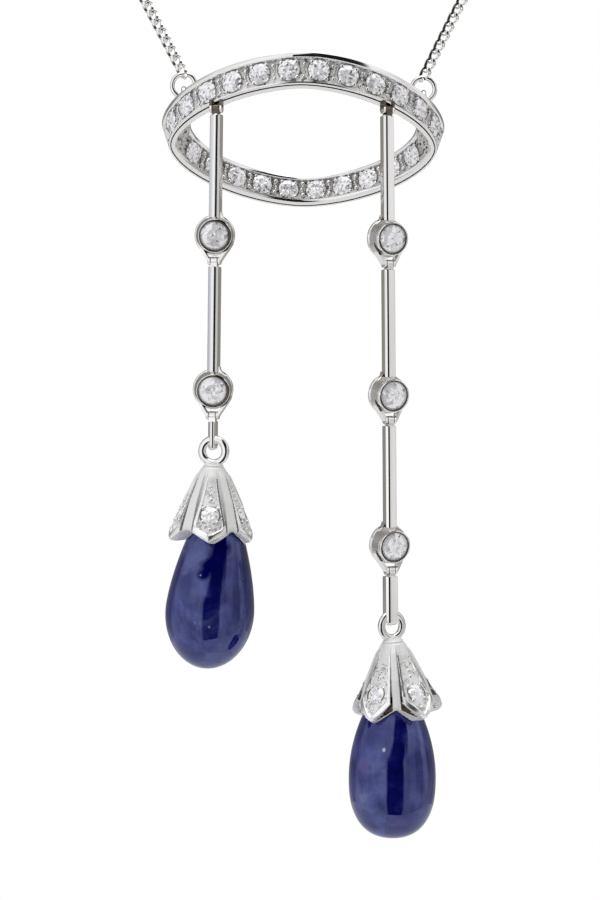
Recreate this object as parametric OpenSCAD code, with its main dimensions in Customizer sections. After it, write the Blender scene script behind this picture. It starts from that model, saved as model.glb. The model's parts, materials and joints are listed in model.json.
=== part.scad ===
// Necklace with a tilted stone-set hoop and two articulated sapphire drops of unequal length.
// Millimetres, +Z up, +Y towards the back of the neck. The origin is where the chain lies on the nape.

/* [Chain] */
// Width of the curb chain
chain_d = 1.0; // [0.8:0.1:1.2]
// Diameter of the barrel clasp
clasp_d = 2.4; // [2:0.1:3]
// Length of the barrel clasp
clasp_len = 8; // [6:0.5:8]

/* [Hoop] */
// Length of the hoop's outline at its top edge
hoop_len = 24.6; // [24:0.1:25]
// Depth of the hoop's outline at its top edge
hoop_depth = 18.6; // [18:0.1:19]
// Height of the hoop's wall
hoop_height = 2.5; // [2.3:0.05:2.6]
// Angle by which the hoop's front edge is lifted
hoop_tilt = 30; // [25:1:33]
// Angle by which the hoop's right end hangs lower
hoop_roll = 0.9; // [0:0.1:2]
// Diameter of the stones in the hoop
field_stone_d = 1.65; // [1.4:0.05:1.65]
// Stones in the outer front channel
outer_stones = 12; // [8:1:12]
// Stones in the inner rear channel
inner_stones = 10; // [8:1:10]
// Distance of each carrying loop from the hoop's middle
loop_x = 10.3; // [10:0.1:10.5]

/* [Drops] */
// Distance of the left drop from the middle
left_x = 7.25; // [7:0.05:7.5]
// Distance of the right drop from the middle
right_x = 7.0; // [6.8:0.05:7.3]
// Turn of the left drop about the vertical
left_turn = -12; // [-15:1:0]
// Turn of the right drop about the vertical
right_turn = 29; // [20:1:32]
// Width of the knife-edge bars
bar_w = 1.06; // [0.9:0.02:1.2]
// Radius of the stone cups
cup_r = 1.6; // [1.5:0.02:1.7]
// Diameter of the stones in the cups
cup_stone_d = 2.3; // [2:0.05:2.3]
// Radius of the hinge pins
pin_r = 0.13; // [0.1:0.01:0.15]
// Clearance round the hinge pins
pin_gap = 0.04; // [0.02:0.01:0.06]

/* [Sapphires] */
// Radius of the left sapphire
left_sapphire_r = 3.72; // [3.6:0.02:3.8]
// Radius of the right sapphire
right_sapphire_r = 3.6; // [3.5:0.02:3.7]
// Diameter of the stones in the cap's petals
petal_stone_d = 1.6; // [1.4:0.05:1.65]

/* [Hidden] */
$fn = 48;

// The hoop's middle hangs in front of and below the nape
hoop_at = [0, -97, -114];

// Route of the right half of the chain, from the clasp over the shoulder to the jump ring
route = [
    [4.2, 0, 0], [16, -1.5, 0], [29, -6.5, -1], [41, -15.5, -3], [50, -27.5, -6],
    [55, -41, -11.5], [54.5, -53, -19.5], [48.5, -60.5, -32], [41, -67.7, -46.5],
    [33.4, -75, -62], [25.8, -82.5, -77.5], [18, -90.5, -93.3], [10.8, -97.9, -108.3]
];
route_steps = 3;
tube_sides = 8;

// Point of a smooth curve through four points, a share t of the way from the second to the third
function spline(a, b, c, d, t) =
    0.5 * (2 * b + (c - a) * t + (2 * a - 5 * b + 4 * c - d) * t * t + (3 * b - a - 3 * c + d) * t * t * t);
function clamp_index(points, i) = points[max(0, min(len(points) - 1, i))];
function smooth_route(points, steps) = [
    for (i = [0 : len(points) - 2], k = [0 : steps - 1])
        spline(clamp_index(points, i - 1), points[i], points[i + 1], clamp_index(points, i + 2), k / steps),
    points[len(points) - 1]
];
function unit(v) = v / norm(v);
function tangent(points, i) = unit(clamp_index(points, i + 1) - clamp_index(points, i - 1));

// Round tube of radius r along a list of points
module tube(points, r) {
    rings = [
        for (i = [0 : len(points) - 1])
            let (along = tangent(points, i), side = unit(cross(along, [0.3, 0.1, 1])), up = cross(side, along))
                for (k = [0 : tube_sides - 1])
                    points[i] + r * (side * cos(k * 360 / tube_sides) + up * sin(k * 360 / tube_sides))
    ];
    last = (len(points) - 1) * tube_sides;
    polyhedron(rings, concat(
        [for (i = [0 : len(points) - 2], k = [0 : tube_sides - 1])
            let (a = i * tube_sides + k, b = i * tube_sides + (k + 1) % tube_sides)
                [a, b, b + tube_sides, a + tube_sides]],
        [[for (k = [tube_sides - 1 : -1 : 0]) k]],
        [[for (k = [0 : tube_sides - 1]) last + k]]
    ));
}

module chain_right() {
    color("gainsboro") tube(smooth_route(route, route_steps), chain_d / 2);
}

module chain_left() {
    color("gainsboro") mirror([1, 0, 0]) tube(smooth_route(route, route_steps), chain_d / 2);
}

module clasp() {
    color("silver") rotate([0, 90, 0]) {
        cylinder(d = clasp_d, h = clasp_len - 1.6, center = true);
        cylinder(d = clasp_d - 0.8, h = clasp_len, center = true);
    }
}

// Hoop: each edge of its wall is a pointed oval, with its own half lengths and exponent
hoop_h = hoop_height / 2;
top_outer = [hoop_len / 2, hoop_depth / 2, 1.74];
top_inner = top_outer - [2.6, 2.5, 0.02];
bottom_outer = top_outer - [0.74, 1.1, 0];
bottom_inner = top_outer - [1.28, 1.85, 0.11];
rail = 0.11;
hoop_rings = 72;
ring_step = 360 / hoop_rings;

function signed_pow(v, e) = sign(v) * pow(abs(v), e);
function oval(o, t) = [o[0] * signed_pow(sin(t), 2 / o[2]), -o[1] * signed_pow(cos(t), 2 / o[2])];
function mix(a, b, s) = a + (b - a) * s;

// Point of the wall at angle t, a share f of the way down and a share w of the way in
function wall(t, f, w) =
    let (p = mix(mix(oval(top_outer, t), oval(bottom_outer, t), f), mix(oval(top_inner, t), oval(bottom_inner, t), f), w))
        [p[0], p[1], mix(hoop_h, -hoop_h, f)];

// Share of the wall's thickness that a channel takes, and the scored line that is left of it in the plain ends
channel_share = 0.48;
scored_share = 0.03;
outer_end = 77;
inner_end = 104;
function ramp(v) = max(0, min(1, v));
function off_front(t) = abs(t > 180 ? t - 360 : t);
function outer_channel(t) = max(scored_share, channel_share * ramp((outer_end - off_front(t)) / 4));
function inner_channel(t) = max(scored_share, channel_share * ramp((off_front(t) - inner_end) / 4));

module hoop_wall() {
    section = [
        for (i = [0 : hoop_rings - 1])
            let (t = i * ring_step, d = outer_channel(t), e = 1 - inner_channel(t)) [
                wall(t, 0, 0), wall(t, rail, 0), wall(t, rail, d), wall(t, 1 - rail, d), wall(t, 1 - rail, 0),
                wall(t, 1, 0), wall(t, 1, 1), wall(t, 1 - rail, 1), wall(t, 1 - rail, e), wall(t, rail, e),
                wall(t, rail, 1), wall(t, 0, 1)
            ]
    ];
    n = len(section[0]);
    polyhedron([for (s = section) each s], [
        for (i = [0 : hoop_rings - 1], k = [0 : n - 1])
            let (j = (i + 1) % hoop_rings, m = (k + 1) % n) [i * n + k, j * n + k, j * n + m, i * n + m]
    ]);
}

// Places what follows in the hoop's own frame
module in_hoop() {
    translate(hoop_at) rotate([0, hoop_roll, 0]) rotate([-hoop_tilt, 0, 0]) children();
}

// Height of the wall's middle line at a distance x along the hoop
function mid_oval() = (top_outer + top_inner) / 2;
function mid_depth(x) = let (o = mid_oval()) o[1] * pow(1 - pow(abs(x) / o[0], o[2]), 1 / o[2]);

// Carrying loops on the hoop's top face, each with its hole along X
loop_r = 0.72;
loop_wire_r = 0.22;
loop_h = 1.05;
loop_foot_r = 0.3;
loop_y = -mid_depth(loop_x);

module ring(r, wire_r) {
    rotate_extrude() translate([r, 0]) circle(wire_r, $fn = 24);
}

module carrying_loop(side) {
    translate([side * loop_x, loop_y, hoop_h]) {
        translate([0, 0, loop_h]) rotate([0, 90, 0]) ring(loop_r, loop_wire_r);
        translate([0, 0, -0.3]) cylinder(r = loop_foot_r, h = 0.3 + loop_h - loop_r);
    }
}

// A round stone with an eight-sided table and a sixteen-sided girdle
stone_crown = 0.14;
stone_pavilion = 0.25;
module stone(d, pavilion = stone_pavilion) {
    table = [for (k = [0 : 7]) [0.28 * d * cos(45 * k), 0.28 * d * sin(45 * k), stone_crown * d]];
    girdle = [for (k = [0 : 15]) [0.5 * d * cos(22.5 * k), 0.5 * d * sin(22.5 * k), 0]];
    polyhedron(concat(table, girdle, [[0, 0, -pavilion * d]]), concat(
        [[7, 6, 5, 4, 3, 2, 1, 0]],
        [for (k = [0 : 7]) [k, (k + 1) % 8, 9 + 2 * k]],
        [for (k = [0 : 7]) [k, 9 + 2 * k, 8 + 2 * k]],
        [for (k = [0 : 7]) [(k + 1) % 8, 8 + (2 * k + 2) % 16, 9 + 2 * k]],
        [for (k = [0 : 15]) [8 + k, 8 + (k + 1) % 16, 24]]
    ));
}

// Angles at which a row of stones lies at equal distances along the wall
row_samples = 90;
function row_table(first, last, w) =
    let (p = [for (i = [0 : row_samples]) wall(mix(first, last, i / row_samples), 0.5, w)])
        [for (i = 0, s = 0; i <= row_samples; s = s + norm(p[min(i + 1, row_samples)] - p[i]), i = i + 1)
            [s, mix(first, last, i / row_samples)]];
function row_angles(first, last, count, w) =
    let (rows = row_table(first, last, w), length = rows[row_samples][0])
        [for (k = [0 : count - 1]) lookup(length * (k + 0.5) / count, rows)];

stone_sink = 0.22;
module stone_row(first, last, count, w) {
    turn = w == 0 ? 1 : -1;
    for (t = row_angles(first, last, count, w)) {
        at = wall(t, 0.5, w);
        along = unit(wall(t + 1, 0.5, w) - wall(t - 1, 0.5, w));
        down = unit(wall(t, 1, w) - wall(t, 0, w));
        out = turn * unit(cross(down, along));
        across = cross(out, along);
        place = at - out * stone_sink;
        multmatrix([
            [along[0], across[0], out[0], place[0]],
            [along[1], across[1], out[1], place[1]],
            [along[2], across[2], out[2], place[2]],
            [0, 0, 0, 1]
        ]) stone(field_stone_d);
    }
}

module hoop_outer_stones() {
    color("white") in_hoop() stone_row(-75, 75, outer_stones, 0);
}

module hoop_inner_stones() {
    color("white") in_hoop() stone_row(108, 252, inner_stones, 1);
}

// Top hinges of the drops, under the front wall's lower edge
hang = 0.45;
function tilted(p) = let (c = cos(hoop_tilt), s = sin(hoop_tilt)) [p[0], c * p[1] + s * p[2], -s * p[1] + c * p[2]];
function rolled(p) = let (c = cos(hoop_roll), s = sin(hoop_roll)) [c * p[0] + s * p[2], p[1], -s * p[0] + c * p[2]];
function from_hoop(p) = hoop_at + rolled(tilted(p));
bottom_mid = (bottom_outer + bottom_inner) / 2;
function bottom_y(x) = -bottom_mid[1] * pow(1 - pow(abs(x) / bottom_mid[0], bottom_mid[2]), 1 / bottom_mid[2]);
left_hinge = from_hoop([-left_x, bottom_y(left_x), -hoop_h - hang]);
right_hinge = from_hoop([right_x, bottom_y(right_x), -hoop_h - hang]);
left_lean = 0.65;
right_lean = -0.4;

module in_left() { translate(left_hinge) rotate([0, left_lean, 0]) rotate([0, 0, left_turn]) children(); }
module in_right() { translate(right_hinge) rotate([0, right_lean, 0]) rotate([0, 0, right_turn]) children(); }

// A hinge is a tongue with an eye that turns on a pin between two lugs
eye_r = 0.36;
tongue_x = 0.27;
lug_x = 0.54;
lug_in = tongue_x + 0.05;
shoulder = 0.46;

module across(x0, x1, r) {
    translate([x0, 0, 0]) rotate([0, 90, 0]) cylinder(r = r, h = x1 - x0);
}

module lugs() {
    across(lug_in, lug_x, eye_r);
    across(-lug_x, -lug_in, eye_r);
    across(-lug_x, lug_x, pin_r);
}

// Lugs that stand under the hoop's lower edge
module hoop_lugs() {
    lugs();
    for (x = [-lug_x, lug_in])
        translate([x, -0.3, 0]) cube([lug_x - lug_in, 0.6, 0.75]);
}

module hoop() {
    color("gainsboro") {
        in_hoop() {
            hoop_wall();
            carrying_loop(-1);
            carrying_loop(1);
        }
        in_left() hoop_lugs();
        in_right() hoop_lugs();
    }
}

// Jump rings that carry the hoop: their lower side runs through the carrying loops
jump_r = 1.0;
jump_wire_r = 0.2;
module jump_ring(side) {
    translate(from_hoop([side * loop_x, loop_y, hoop_h + loop_h]) + [0, 0, jump_r])
        rotate([90, 0, 0]) ring(jump_r, jump_wire_r);
}
module jump_ring_left() { color("silver") jump_ring(-1); }
module jump_ring_right() { color("silver") jump_ring(1); }

// Knife-edge bar between two heights below the hinge
bar_front = 0.42;
bar_side = 0.02;
bar_back = 0.33;
module bar(top, bottom) {
    translate([0, 0, -bottom]) linear_extrude(bottom - top) polygon([
        [-bar_w / 2, bar_back], [-bar_w / 2, -bar_side], [0, -bar_front], [bar_w / 2, -bar_side],
        [bar_w / 2, bar_back]
    ]);
}

module tongue() {
    difference() {
        union() {
            across(-tongue_x, tongue_x, eye_r);
            translate([-tongue_x, -0.3, -shoulder - 0.1]) cube([2 * tongue_x, 0.6, shoulder + 0.1]);
        }
        across(-1, 1, pin_r + pin_gap);
    }
}

// Cup of the stone, open at the back, with the strap whose ends hold the next hinge
cup_front = 0.9;
cup_back = 0.7;
cup_bore_r = 1.22;
cup_seat = 0.1;
back_bore_r = 0.8;
hinge_drop = 2.12;
module cup() {
    difference() {
        union() {
            translate([0, cup_back, 0]) rotate([90, 0, 0]) cylinder(r = cup_r, h = cup_front + cup_back);
            translate([0, cup_back, 0]) rotate([90, 0, 0]) cylinder(r = cup_r + 0.07, h = 0.25);
            for (s = [-1, 1]) translate([0, 0.36, 0]) rotate([90, 0, 0]) linear_extrude(0.72) polygon([
                [s * 1.45, -0.68], [s * lug_x, -hinge_drop], [s * lug_in, -hinge_drop], [s * 1.15, -0.85]
            ]);
            translate([0, 0.6, 0]) rotate([90, 0, 0]) linear_extrude(0.6) polygon([
                [-bar_w / 2, 2.3], [-1.2, 1.2], [1.2, 1.2], [bar_w / 2, 2.3]
            ]);
        }
        rotate([90, 0, 0]) translate([0, 0, cup_seat]) cylinder(r = cup_bore_r, h = 2);
        rotate([90, 0, 0]) cylinder(r = back_bore_r, h = 4, center = true);
    }
    translate([0, 0, -hinge_drop]) lugs();
}

// Bar with its cup a given distance below the hinge
module bar_and_cup(length) {
    color("gainsboro") {
        tongue();
        bar(shoulder, length - 1.4);
        translate([0, 0, -length]) cup();
    }
}

module cup_stone(length) {
    color("white") translate([0, -0.45, -length]) rotate([90, 0, 0]) stone(cup_stone_d, 0.4);
}

// Short bar whose tip has an eye for the drop's ring
tip_x = 0.32;
tip_y = 0.52;
tip_bore_r = 0.36;
tip_below = 0.42;
module short_bar(length) {
    color("gainsboro") {
        tongue();
        bar(shoulder, length - 0.5);
        difference() {
            union() {
                translate([-tip_x, -tip_y, -length - tip_below]) cube([2 * tip_x, 2 * tip_y, tip_below + 0.6]);
                translate([0, 0, -length - tip_below]) across(-tip_x, tip_x, tip_y);
            }
            translate([0, 0, -length - 0.05]) across(-1, 1, tip_bore_r);
        }
    }
}

// Heights of the cups below the hoop's middle, and lengths of the bars from hinge to cup
left_cups = [-9.23, -22.1];
right_cups = [-9.5, -22.5, -35];
left_eye = -26.2;
right_eye = -40.77;
left_top = left_hinge[2] - hoop_at[2];
right_top = right_hinge[2] - hoop_at[2];
function hinge_z(top, cups, i) = i == 0 ? top : cups[i - 1] - hinge_drop;
function below(top, cups, i) = top - hinge_z(top, cups, i);
function bar_length(top, cups, i) = hinge_z(top, cups, i) - cups[i];

module left_at(i) { in_left() translate([0, 0, -below(left_top, left_cups, i)]) children(); }
module right_at(i) { in_right() translate([0, 0, -below(right_top, right_cups, i)]) children(); }

module left_bar_1() { left_at(0) bar_and_cup(bar_length(left_top, left_cups, 0)); }
module left_bar_2() { left_at(1) bar_and_cup(bar_length(left_top, left_cups, 1)); }
module left_bar_3() { left_at(2) short_bar(hinge_z(left_top, left_cups, 2) - left_eye); }
module left_stone_1() { left_at(0) cup_stone(bar_length(left_top, left_cups, 0)); }
module left_stone_2() { left_at(1) cup_stone(bar_length(left_top, left_cups, 1)); }
module right_bar_1() { right_at(0) bar_and_cup(bar_length(right_top, right_cups, 0)); }
module right_bar_2() { right_at(1) bar_and_cup(bar_length(right_top, right_cups, 1)); }
module right_bar_3() { right_at(2) bar_and_cup(bar_length(right_top, right_cups, 2)); }
module right_bar_4() { right_at(3) short_bar(hinge_z(right_top, right_cups, 3) - right_eye); }
module right_stone_1() { right_at(0) cup_stone(bar_length(right_top, right_cups, 0)); }
module right_stone_2() { right_at(1) cup_stone(bar_length(right_top, right_cups, 1)); }
module right_stone_3() { right_at(2) cup_stone(bar_length(right_top, right_cups, 2)); }

// Drops: a smooth stone under a ring-topped cap of five petals.
// Each drop's numbers: radius, height above and depth below its widest place, exponent of its shoulder,
// depth of its widest place under the cap's top, depth of its cut top, turn of its petals
left_drop = [left_sapphire_r, 11.9, 4.65, 1.57, 12.2, 1.5, 5];
right_drop = [right_sapphire_r, 9.3, 4.6, 2.16, 11.4, 2.8, 15];
drop_ring_r = 1.0;
drop_wire_r = 0.25;
cap_top = drop_ring_r + 1.17;

function drop_radius(d, u) =
    u <= d[4]
        ? d[0] * (1 - pow(ramp((d[4] - u) / d[1]), d[3]))
        : d[0] * sqrt(max(0, 1 - pow((u - d[4]) / d[2], 2)));

module in_left_drop() { in_left() translate([0, 0, left_eye - left_top]) rotate([0, 1.6, 0]) children(); }
module in_right_drop() { in_right() translate([0, 0, right_eye - right_top]) children(); }

sapphire_rows = 30;
module sapphire(d) {
    bottom = d[4] + d[2];
    color("midnightblue") translate([0, 0, -cap_top]) rotate_extrude() polygon(concat(
        [[0, -d[5]]],
        [for (i = [0 : sapphire_rows - 1])
            let (s = sin(90 * i / sapphire_rows), u = mix(d[5], bottom, s)) [drop_radius(d, u), -u]],
        [[0, -bottom]]
    ));
}

// Petals stand proud of a thin wall, with a narrow rib between each two
petals = 5;
petal_tip = 6.35;
petal_notch = 5.35;
notch_r = 2.62;
petal_r = 2.42;
neck_r = 1.0;
cap_gap = 0.12;
cap_rows = 10;
petal_edges = [-35, -33, -26, -23, -20, -12, 0, 12, 20, 23, 26, 33, 35];
half_petal = 180 / petals;
function petal_off(a) = let (r = (a + 3600 + half_petal) % (2 * half_petal)) abs(r - half_petal);
function petal_face(u) = neck_r + petal_r * sin(90 * pow(u / 5.5, 1.1));
function wall_face(u) = neck_r + (notch_r - neck_r) * pow(u / petal_notch, 0.9);
function petal_share(off) = ramp((26 - off) / 5);
function rib_share(off) = 0.22 * ramp((off - 33) / 2);
function cap_edge(off) = mix(petal_tip, petal_notch, ramp(off / 33));
function cap_outer(u, off) =
    mix(wall_face(u), petal_face(u), petal_share(off)) + rib_share(off) * ramp(u);
function cap_inner(d, u) = drop_radius(d, u) + cap_gap;

module cap_shell(d) {
    angles = [for (p = [0 : petals - 1], e = petal_edges) p * 2 * half_petal + e];
    n = len(angles);
    top_in = d[5] - cap_gap;
    points = concat(
        [for (i = [0 : cap_rows], a = angles)
            let (off = petal_off(a), u = cap_edge(off) * i / cap_rows, r = cap_outer(u, off))
                [r * sin(a), -r * cos(a), -u]],
        [for (i = [cap_rows : -1 : 0], a = angles)
            let (u = mix(top_in, cap_edge(petal_off(a)), i / cap_rows), r = cap_inner(d, u))
                [r * sin(a), -r * cos(a), -u]]
    );
    rows = 2 * cap_rows + 2;
    polyhedron(points, concat(
        [for (i = [0 : rows - 2], k = [0 : n - 1])
            let (a = i * n + k, b = i * n + (k + 1) % n) [a, b, b + n, a + n]],
        [[for (k = [n - 1 : -1 : 0]) k]],
        [[for (k = [0 : n - 1]) (rows - 1) * n + k]]
    ));
}

// Stands a piece on the middle of each petal, its Z axis square to the petal's face
petal_seat = 4;
petal_slope = 16;
module on_petals(turn, sink) {
    for (p = [0 : petals - 1])
        rotate([0, 0, turn + p * 2 * half_petal]) translate([0, -petal_face(petal_seat), -cap_top - petal_seat])
            rotate([90 - petal_slope, 0, 0]) translate([0, 0, -sink]) children();
}

petal_bore_depth = 0.75;
module cap(d) {
    color("gainsboro") {
        translate([0, 0, -drop_ring_r]) rotate([90, 0, 0]) ring(drop_ring_r, drop_wire_r);
        difference() {
            translate([0, 0, -cap_top]) rotate([0, 0, d[6]]) cap_shell(d);
            on_petals(d[6], petal_bore_depth) cylinder(d = petal_stone_d + 0.12, h = 2);
        }
    }
}

module cap_stones(d) {
    color("white") on_petals(d[6], 0.15) stone(petal_stone_d);
}

module left_cap() { in_left_drop() cap(left_drop); }
module left_cap_stones() { in_left_drop() cap_stones(left_drop); }
module left_sapphire() { in_left_drop() sapphire(left_drop); }
module right_cap() { in_right_drop() cap(right_drop); }
module right_cap_stones() { in_right_drop() cap_stones(right_drop); }
module right_sapphire() { in_right_drop() sapphire(right_drop); }

chain_left();
chain_right();
clasp();
jump_ring_left();
jump_ring_right();
hoop();
hoop_outer_stones();
hoop_inner_stones();
left_bar_1();
left_bar_2();
left_bar_3();
left_stone_1();
left_stone_2();
left_cap();
left_cap_stones();
left_sapphire();
right_bar_1();
right_bar_2();
right_bar_3();
right_bar_4();
right_stone_1();
right_stone_2();
right_stone_3();
right_cap();
right_cap_stones();
right_sapphire();
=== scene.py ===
"""Necklace with a tilted stone-set hoop and two hinged sapphire drops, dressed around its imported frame."""

import json
import math

import bpy
import numpy as np
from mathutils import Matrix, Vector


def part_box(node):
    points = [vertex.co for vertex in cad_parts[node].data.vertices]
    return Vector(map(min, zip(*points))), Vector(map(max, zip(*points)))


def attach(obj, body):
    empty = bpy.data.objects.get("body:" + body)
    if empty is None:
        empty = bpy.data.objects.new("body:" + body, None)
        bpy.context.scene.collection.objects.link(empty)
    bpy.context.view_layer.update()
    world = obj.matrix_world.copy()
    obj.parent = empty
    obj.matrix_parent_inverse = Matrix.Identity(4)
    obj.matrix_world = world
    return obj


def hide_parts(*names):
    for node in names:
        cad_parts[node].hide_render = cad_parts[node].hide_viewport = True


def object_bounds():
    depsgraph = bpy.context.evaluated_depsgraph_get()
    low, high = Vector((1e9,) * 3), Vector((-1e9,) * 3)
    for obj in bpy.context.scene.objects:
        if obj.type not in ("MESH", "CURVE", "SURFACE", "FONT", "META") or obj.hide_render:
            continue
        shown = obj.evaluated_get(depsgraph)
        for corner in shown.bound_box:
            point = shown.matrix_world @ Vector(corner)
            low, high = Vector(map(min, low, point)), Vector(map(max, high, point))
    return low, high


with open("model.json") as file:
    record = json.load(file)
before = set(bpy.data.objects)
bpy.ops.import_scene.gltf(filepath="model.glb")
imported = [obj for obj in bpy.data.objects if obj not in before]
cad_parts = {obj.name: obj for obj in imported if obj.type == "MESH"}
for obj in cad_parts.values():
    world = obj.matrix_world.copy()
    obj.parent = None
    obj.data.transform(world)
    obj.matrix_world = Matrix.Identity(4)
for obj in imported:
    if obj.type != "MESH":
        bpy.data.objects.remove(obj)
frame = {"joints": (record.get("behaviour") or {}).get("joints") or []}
cad_box = [list(corner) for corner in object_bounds()]
joints = {j["name"]: j for j in frame["joints"]}
MM = 0.001
scene = bpy.context.scene

# Surroundings: a level camera a hand's length in front of the drops, in a white light tent whose only
# dark place is the gap in which the camera stands. Metal and sapphires get their dark lines from it.
hoop_middle = np.array([0.0, -97.0, -114.0])
camera_from_hoop = np.array([-0.26, -147.1, -27.1])
photo_height_px = 900
focal_px = 1700
sensor_mm = 36

camera_data = bpy.data.cameras.new("camera")
camera_data.sensor_width = sensor_mm
camera_data.lens = focal_px * sensor_mm / photo_height_px
camera_data.clip_start = 0.005
camera_data.clip_end = 20
camera = bpy.data.objects.new("camera", camera_data)
camera.location = (hoop_middle + camera_from_hoop) * MM
camera.rotation_euler = (math.radians(90), 0, 0)
scene.collection.objects.link(camera)
scene.camera = camera
scene.view_settings.view_transform = "Standard"

# Light of the tent by the angle round from the camera, negative to its left: (angle, grey or colour)
bluish, plain_white = (0.74, 0.76, 0.83), (1.14, 1.14, 1.16)
warm_grey, mid_grey, unlit = (0.28, 0.265, 0.24), (0.36, 0.35, 0.33), (0.012, 0.011, 0.010)
tent_lights = [
    (-180, warm_grey), (-122, warm_grey), (-110, bluish), (-86, bluish), (-60, plain_white), (-19, plain_white),
    (-14, unlit), (26, unlit), (30, 0.70), (60, (0.64, 0.64, 0.63)), (66, mid_grey),
    (84, mid_grey), (89, (0.84, 0.83, 0.82)), (100, (0.9, 0.89, 0.89)), (109, warm_grey), (180, warm_grey),
]
# Greys of the walls near the ground and near the roof, each with its (height, share)
low_walls = [(-180, 0.6), (-110, 0.76), (-20, 0.78), (-15, 0.012), (27, 0.012), (32, 0.76), (110, 0.74), (180, 0.6)]
low_reach = [(0.30, 1.0), (0.46, 0.0)]
high_walls = [(-180, 0.34), (-125, 0.36), (-105, 0.8), (-60, 1.0), (-15, 1.02), (-9, 0.012), (36, 0.012), (42, 1.0),
              (100, 0.85), (118, 0.34), (180, 0.34)]
high_reach = [(0.56, 0.0), (0.70, 1.0)]
gap_lean = 0.11
lean_from = 0.14
gap_highest = 0.91
roof_light = 2.6
fold_scale = 2.6
fold_shade = 0.72


def plug(value, socket):
    """Sets an input to a value, or joins it to another node's socket."""
    if isinstance(value, bpy.types.NodeSocket):
        socket.id_data.links.new(value, socket)
    else:
        socket.default_value = value


def set_inputs(node, **inputs):
    """Sets or joins a node's inputs by name, with _ for a space."""
    for name, value in inputs.items():
        plug(value, node.inputs[name.replace("_", " ")])


def add_node(tree, kind, output=0, group=None, **inputs):
    """A shader node with its inputs set or joined; gives one of its output sockets."""
    node = tree.nodes.new("ShaderNode" + kind)
    if group:
        node.node_tree = group
    set_inputs(node, **inputs)
    return node.outputs[output]


def math_node(tree, operation, *inputs, kind="Math", output=0):
    """A Math node whose inputs are numbers or sockets; gives its output socket."""
    node = tree.nodes.new("ShaderNode" + kind)
    node.operation = operation
    for value, socket in zip(inputs, node.inputs):
        plug(value, socket)
    return node.outputs[output]


def mix_node(tree, factor, first, second, blend="MIX"):
    """Two colours mixed by a factor, through the node's colour inputs 6 and 7; gives its colour output, 2."""
    node = tree.nodes.new("ShaderNodeMix")
    node.data_type, node.blend_type = "RGBA", blend
    for i, value in ((0, factor), (6, first), (7, second)):
        plug(value, node.inputs[i])
    return node.outputs[2]


def rgba(colour):
    """Four channels from a grey or from three channels."""
    return (colour, colour, colour, 1) if isinstance(colour, (int, float)) else (*colour, 1)


def ramp_node(tree, factor, stops):
    """A straight colour ramp through (place, grey or colour) stops; gives its colour socket."""
    node = tree.nodes.new("ShaderNodeValToRGB")
    elements = node.color_ramp.elements
    elements.remove(elements[-1])
    for i, (place, colour) in enumerate(stops):
        element = elements.new(place) if i else elements[0]
        element.position, element.color = place, rgba(colour)
    plug(factor, node.inputs[0])
    return node.outputs[0]


def wall_lights(stops):
    """Ramp round the tent through (angle, grey or colour) stops."""
    return ramp_node(tree, share, [(degrees / 360 + 0.5, colour) for degrees, colour in stops])


world = bpy.data.worlds.new("light_tent")
scene.world = world
world.use_nodes = True
tree = world.node_tree
tree.nodes.clear()
outward = add_node(tree, "TexCoord", "Generated")
axes = add_node(tree, "SeparateXYZ", Vector=outward).node.outputs
angle = math_node(tree, "ARCTAN2", axes[0], math_node(tree, "MULTIPLY", axes[1], -1.0))
raised = math_node(tree, "MAXIMUM", math_node(tree, "SUBTRACT", axes[2], lean_from), 0.0)
share = math_node(tree, "MULTIPLY_ADD", angle, 0.5 / math.pi, math_node(tree, "MULTIPLY_ADD", raised, -gap_lean, 0.5))
height = math_node(tree, "MULTIPLY_ADD", axes[2], 0.5, 0.5)
walls = wall_lights(tent_lights)
for lights, reach in ((low_walls, low_reach), (high_walls, high_reach)):
    walls = mix_node(tree, ramp_node(tree, height, reach), walls, wall_lights(lights))
roof_from = gap_highest / 2 + 0.5
roof = ramp_node(tree, height, [(roof_from - 0.04, 0.0), (roof_from + 0.01, roof_light)])
folds = add_node(tree, "TexNoise", "Fac", Vector=outward, Scale=fold_scale)
shade = ramp_node(tree, folds, [(0.36, fold_shade), (0.54, 1.0)])
tent_light = mix_node(tree, 1.0, mix_node(tree, 1.0, walls, roof, "LIGHTEN"), shade, "MULTIPLY")
tent = add_node(tree, "Background", Color=tent_light)
plain = add_node(tree, "Background", Color=rgba(1.0))
seen = add_node(tree, "MixShader", Fac=add_node(tree, "LightPath", "Is Camera Ray"))
plug(tent, seen.node.inputs[1])
plug(plain, seen.node.inputs[2])
plug(seen, tree.nodes.new("ShaderNodeOutputWorld").inputs[0])


def add_mesh(name, points, faces, materials, face_materials=None, smooth_deg=None):
    """A mesh object from points in millimetres and faces, shaded smooth below an angle."""
    mesh = bpy.data.meshes.new(name)
    mesh.from_pydata((np.asarray(points, float) * MM).tolist(), [], [list(map(int, f)) for f in faces])
    for material in materials:
        mesh.materials.append(material)
    if face_materials is not None:
        mesh.polygons.foreach_set("material_index", np.asarray(face_materials, np.int32))
    mesh.polygons.foreach_set("use_smooth", np.full(len(mesh.polygons), smooth_deg is not None))
    if smooth_deg is not None:
        mesh.set_sharp_from_angle(angle=math.radians(smooth_deg))
    mesh.update()
    obj = bpy.data.objects.new(name, mesh)
    scene.collection.objects.link(obj)
    return obj


def new_material(name):
    """A material, its node tree and its shader."""
    material = bpy.data.materials.new(name)
    material.use_nodes = True
    return material, material.node_tree, material.node_tree.nodes["Principled BSDF"]


def stacked(*parts):
    """Parts of one shape, or broadcast to one, as the last axis of an array: the coordinates of points."""
    return np.stack(np.broadcast_arrays(*parts), -1)


def circle(count):
    """Angles of points spread evenly round a circle."""
    return np.linspace(0, 2 * np.pi, count, endpoint=False)


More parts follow.
